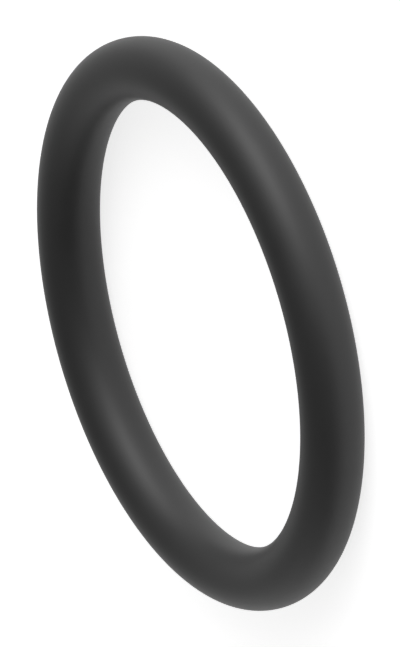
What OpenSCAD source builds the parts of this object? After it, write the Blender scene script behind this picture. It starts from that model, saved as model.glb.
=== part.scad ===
// O-ring seal: one endless rubber ring of round section, moulded in one piece.
// It lies flat, as a loose ring comes to rest. The origin is at the middle of the
// ring on the plane that it lies on, and +Z runs along its axis.

/* [Ring] */
// Inside diameter, across the hole
inside_d = 29; // [6:0.5:200]
// Diameter of the round rubber section
section_d = 4; // [1:0.1:10]

/* [Hidden] */

section_r = section_d / 2;
// From the axis of the ring to the middle of its section
centreline_r = inside_d / 2 + section_r;

// Straight sides drawn for the circle of the ring and for that of its section
ring_sides = 180;
section_sides = 60;

black_rubber = [0.13, 0.13, 0.13];

// The section, a full circle, turned once round the axis with its lowest line on z = 0
module o_ring() {
    color(black_rubber)
        translate([0, 0, section_r])
            rotate_extrude($fn = ring_sides)
                translate([centreline_r, 0])
                    circle(r = section_r, $fn = section_sides);
}

o_ring();
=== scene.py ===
"""A black rubber o-ring that lies flat on a pale floor, seen as in the photograph."""
import math

import bpy
import numpy as np
from mathutils import Matrix, Vector


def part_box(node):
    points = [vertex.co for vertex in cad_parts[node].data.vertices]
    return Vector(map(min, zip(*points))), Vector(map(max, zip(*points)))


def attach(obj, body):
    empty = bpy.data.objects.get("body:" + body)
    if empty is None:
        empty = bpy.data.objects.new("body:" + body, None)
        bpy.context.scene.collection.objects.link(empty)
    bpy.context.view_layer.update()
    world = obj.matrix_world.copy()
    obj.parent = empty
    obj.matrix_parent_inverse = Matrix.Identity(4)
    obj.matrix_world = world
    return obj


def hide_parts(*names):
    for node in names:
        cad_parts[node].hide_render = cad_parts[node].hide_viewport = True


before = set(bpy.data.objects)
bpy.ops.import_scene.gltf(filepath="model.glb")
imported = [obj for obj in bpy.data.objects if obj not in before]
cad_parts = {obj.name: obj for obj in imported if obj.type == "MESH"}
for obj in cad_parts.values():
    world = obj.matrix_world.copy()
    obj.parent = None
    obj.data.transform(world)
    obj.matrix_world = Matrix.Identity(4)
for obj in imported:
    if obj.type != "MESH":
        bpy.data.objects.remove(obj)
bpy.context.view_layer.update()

# The ring, from its box in the frame: its section is as thick as the box is high
LOW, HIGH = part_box("o_ring")
SECTION_R = (HIGH[2] - LOW[2]) / 2
CENTRELINE_R = (HIGH[0] - LOW[0]) / 2 - SECTION_R
RING_CENTRE = Vector((LOW[0] + HIGH[0], LOW[1] + HIGH[1], LOW[2] + HIGH[2])) / 2

# The photograph, in pixels: its size, the middle of the ring and its centreline's half length
PHOTO_W, PHOTO_H = 400, 647
RING_PX, RING_PY = 198.98, 323.91
HALF_LONG_PX = 263.92
# How far above the plane of the ring the photograph looks, and how the picture is turned
ELEVATION = math.radians(25.66)
ROLL = math.radians(-106.10)
LENS_MM, SENSOR_MM = 1000.0, 36.0

# Rubber: the greys that its faint bloom wavers between, its gloss, and the grain of its skin
RUBBER_DARK, RUBBER_LIGHT = 0.026, 0.034
RUBBER_ROUGHNESS, ROUGHNESS_WAVER = 0.55, 0.06
BLOOM_PER_M, BLOOM_DETAIL = 260.0, 3.0
GRAIN_PER_M, GRAIN_DETAIL, GRAIN_DEPTH = 7000.0, 2.0, 1.5e-6

# Studio light: an even glow with wide soft lights in it, all of one width. Each light has the
# direction it comes from, in degrees round from +X and above the floor, and a brightness.
EVEN_GLOW = 0.05
LIGHT_NARROWNESS = 8.0
SOFT_LIGHTS = {
    "key": dict(azimuth=322, elevation=0, strength=8.3),
    "wall behind": dict(azimuth=100, elevation=0, strength=0.80),
    "side": dict(azimuth=140, elevation=18, strength=0.90),
    "fill": dict(azimuth=60, elevation=12, strength=0.50),
}
# The floor, and how far above it the world is as white as the floor, so that no edge shows
FLOOR_HALF = 3.0
FLOOR_GREY, FLOOR_GLOW = 0.80, 0.78
HORIZON = math.radians(2.0)


class Socket:
    """The output of a node. Arithmetic on it adds Math nodes."""

    def __init__(self, tree, kind, settings=None, inputs=None, output=0):
        """Add a node of this kind: its settings first, then its inputs' values or links."""
        added = tree.nodes.new(kind)
        for name, value in (settings or {}).items():
            setattr(added, name, value)
        plug(added, inputs or {})
        self.link = added.outputs[output]

    def math(self, operation, *values):
        """A Math node that works on these values, among them this socket."""
        return Socket(
            self.link.id_data, "ShaderNodeMath", {"operation": operation}, dict(enumerate(values))
        )

    def __add__(self, other):
        return self.math("ADD", self, other)

    def __sub__(self, other):
        return self.math("SUBTRACT", self, other)

    def __rsub__(self, other):
        return self.math("SUBTRACT", other, self)

    def __mul__(self, other):
        return self.math("MULTIPLY", self, other)

    __radd__, __rmul__ = __add__, __mul__


def plug(node, inputs):
    """Give each input of a node, by name or number, its value or the socket that feeds it."""
    for place, value in inputs.items():
        if isinstance(value, Socket):
            node.id_data.links.new(value.link, node.inputs[place])
        else:
            node.inputs[place].default_value = value


def grey(level):
    """An opaque colour with this level in red, green and blue."""
    return (level, level, level, 1.0)


def mesh_piece(name, points, faces, smooth=True):
    """An object whose mesh has these points and faces, linked to the scene."""
    mesh = bpy.data.meshes.new(name)
    mesh.from_pydata(points.reshape(-1, 3).tolist(), [], faces.reshape(-1, 4).tolist())
    mesh.polygons.foreach_set("use_smooth", np.full(len(mesh.polygons), smooth))
    mesh.update()
    piece = bpy.data.objects.new(name, mesh)
    bpy.context.scene.collection.objects.link(piece)
    return piece


def torus(around=720, across=96):
    """Points and faces of the ring, a grid in two angles that closes both ways.

    With u round the ring and v round its section, a point is at the distance
    centreline radius + section radius * cos v from the axis, in the direction u, and at
    the height of the ring's centre + section radius * sin v.
    """
    u, v = np.meshgrid(
        np.arange(around) * 2 * np.pi / around,
        np.arange(across) * 2 * np.pi / across,
        indexing="ij",
    )
    reach = CENTRELINE_R + SECTION_R * np.cos(v)
    height = SECTION_R * np.sin(v)
    points = np.stack([reach * np.cos(u), reach * np.sin(u), height], -1) + np.array(RING_CENTRE)
    here = np.arange(around * across).reshape(around, across)
    ahead = np.roll(here, -1, 0)
    faces = np.stack([here, ahead, np.roll(ahead, -1, 1), np.roll(here, -1, 1)], -1)
    return points, faces


def make_camera():
    """A camera with a long lens, far enough off for the ring to fill what it fills in the photo.

    `back` points from the ring to the camera. The picture's own right and up are the level
    right and up turned by the roll.
    """
    level_right = Vector((1, 0, 0))
    back = Vector((0, -math.cos(ELEVATION), math.sin(ELEVATION)))
    level_up = back.cross(level_right)
    right = math.cos(ROLL) * level_right + math.sin(ROLL) * level_up
    up = back.cross(right)
    pixel = CENTRELINE_R / HALF_LONG_PX
    distance = PHOTO_H * pixel * LENS_MM / SENSOR_MM
    aside = right * (PHOTO_W / 2 - RING_PX) * pixel + up * (RING_PY - PHOTO_H / 2) * pixel
    data = bpy.data.cameras.new("camera")
    data.lens, data.sensor_width = LENS_MM, SENSOR_MM
    data.clip_start, data.clip_end = distance / 100, distance * 10
    camera = bpy.data.objects.new("camera", data)
    camera.matrix_world = (
        Matrix.Translation(RING_CENTRE + aside + back * distance)
        @ Matrix((right, up, back)).transposed().to_4x4()
    )
    bpy.context.scene.collection.objects.link(camera)
    bpy.context.scene.camera = camera


def black_rubber():
    """Smooth black rubber: a faint cloudy bloom in its grey and its gloss, and a very fine grain."""
    material = bpy.data.materials.new("black_rubber")
    material.use_nodes = True
    tree = material.node_tree
    place = Socket(tree, "ShaderNodeTexCoord", output="Object")
    bloom, grain = (
        Socket(
            tree, "ShaderNodeTexNoise", inputs={"Vector": place, "Scale": scale, "Detail": detail}
        )
        for scale, detail in ((BLOOM_PER_M, BLOOM_DETAIL), (GRAIN_PER_M, GRAIN_DETAIL))
    )
    # A colour Mix node has its factor at input 0, its two colours at 6 and 7, its result at 2
    colour = Socket(
        tree,
        "ShaderNodeMix",
        {"data_type": "RGBA"},
        {0: bloom, 6: grey(RUBBER_DARK), 7: grey(RUBBER_LIGHT)},
        output=2,
    )
    # Each noise lies round a half, so both together less 1 lie round 0
    roughness = (bloom + grain - 1.0) * ROUGHNESS_WAVER + RUBBER_ROUGHNESS
    skin = Socket(tree, "ShaderNodeBump", inputs={"Height": grain, "Distance": GRAIN_DEPTH})
    plug(
        tree.nodes["Principled BSDF"],
        {"Base Color": colour, "Roughness": roughness, "Normal": skin},
    )
    return material


def shown(tree):
    """1 for the rays that show a thing to the camera: straight, in a gloss or through glass."""
    rays = [
        Socket(tree, "ShaderNodeLightPath", output=name)
        for name in ("Is Camera Ray", "Is Glossy Ray", "Is Transmission Ray")
    ]
    return rays[0].math("MAXIMUM", rays[0], rays[1].math("MAXIMUM", rays[1], rays[2]))


def studio():
    """A world that is white up to the horizon and has a few wide soft lights above it.

    In a direction at an angle a from its middle, a light has the brightness
    strength * exp(narrowness * (cos a - 1)), and the lights add up on the even glow.
    """
    world = bpy.data.worlds.new("studio")
    world.use_nodes = True
    tree = world.node_tree
    direction = Socket(tree, "ShaderNodeTexCoord", output="Generated")
    glow = EVEN_GLOW
    for light in SOFT_LIGHTS.values():
        azimuth = math.radians(light["azimuth"])
        elevation = math.radians(light["elevation"])
        middle = (
            math.cos(azimuth) * math.cos(elevation),
            math.sin(azimuth) * math.cos(elevation),
            math.sin(elevation),
        )
        cosine = Socket(
            tree,
            "ShaderNodeVectorMath",
            {"operation": "DOT_PRODUCT"},
            {0: direction, 1: middle},
            output="Value",
        )
        fade = (cosine - 1.0) * LIGHT_NARROWNESS
        glow = glow + fade.math("EXPONENT", fade) * light["strength"]
    height = Socket(tree, "ShaderNodeSeparateXYZ", inputs={"Vector": direction}, output="Z")
    above = height.math("GREATER_THAN", height, math.sin(HORIZON))
    plug(
        tree.nodes["Background"],
        {"Color": grey(1.0), "Strength": 1.0 - above + above * glow},
    )
    return world


def pale_floor():
    """A floor that shows white but for the ring's soft shadow."""
    material = bpy.data.materials.new("pale_floor")
    material.use_nodes = True
    # A ray aimed at a lamp is none of those that show the floor, so it isn't sampled as a lamp
    material.cycles.emission_sampling = "NONE"
    tree = material.node_tree
    plug(
        tree.nodes["Principled BSDF"],
        {
            "Base Color": grey(FLOOR_GREY),
            "Roughness": 1.0,
            "Specular IOR Level": 0.0,
            "Emission Color": shown(tree),
            "Emission Strength": FLOOR_GLOW,
        },
    )
    return material


make_camera()

ring = mesh_piece("ring", *torus())
ring.data.materials.append(black_rubber())
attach(ring, "root")
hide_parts("o_ring")

corners = np.array([(-1, -1, 0), (1, -1, 0), (1, 1, 0), (-1, 1, 0)]) * FLOOR_HALF
floor = mesh_piece("floor", corners, np.arange(4), smooth=False)
floor.data.materials.append(pale_floor())

bpy.context.scene.world = studio()
bpy.context.scene.view_settings.view_transform = "Standard"
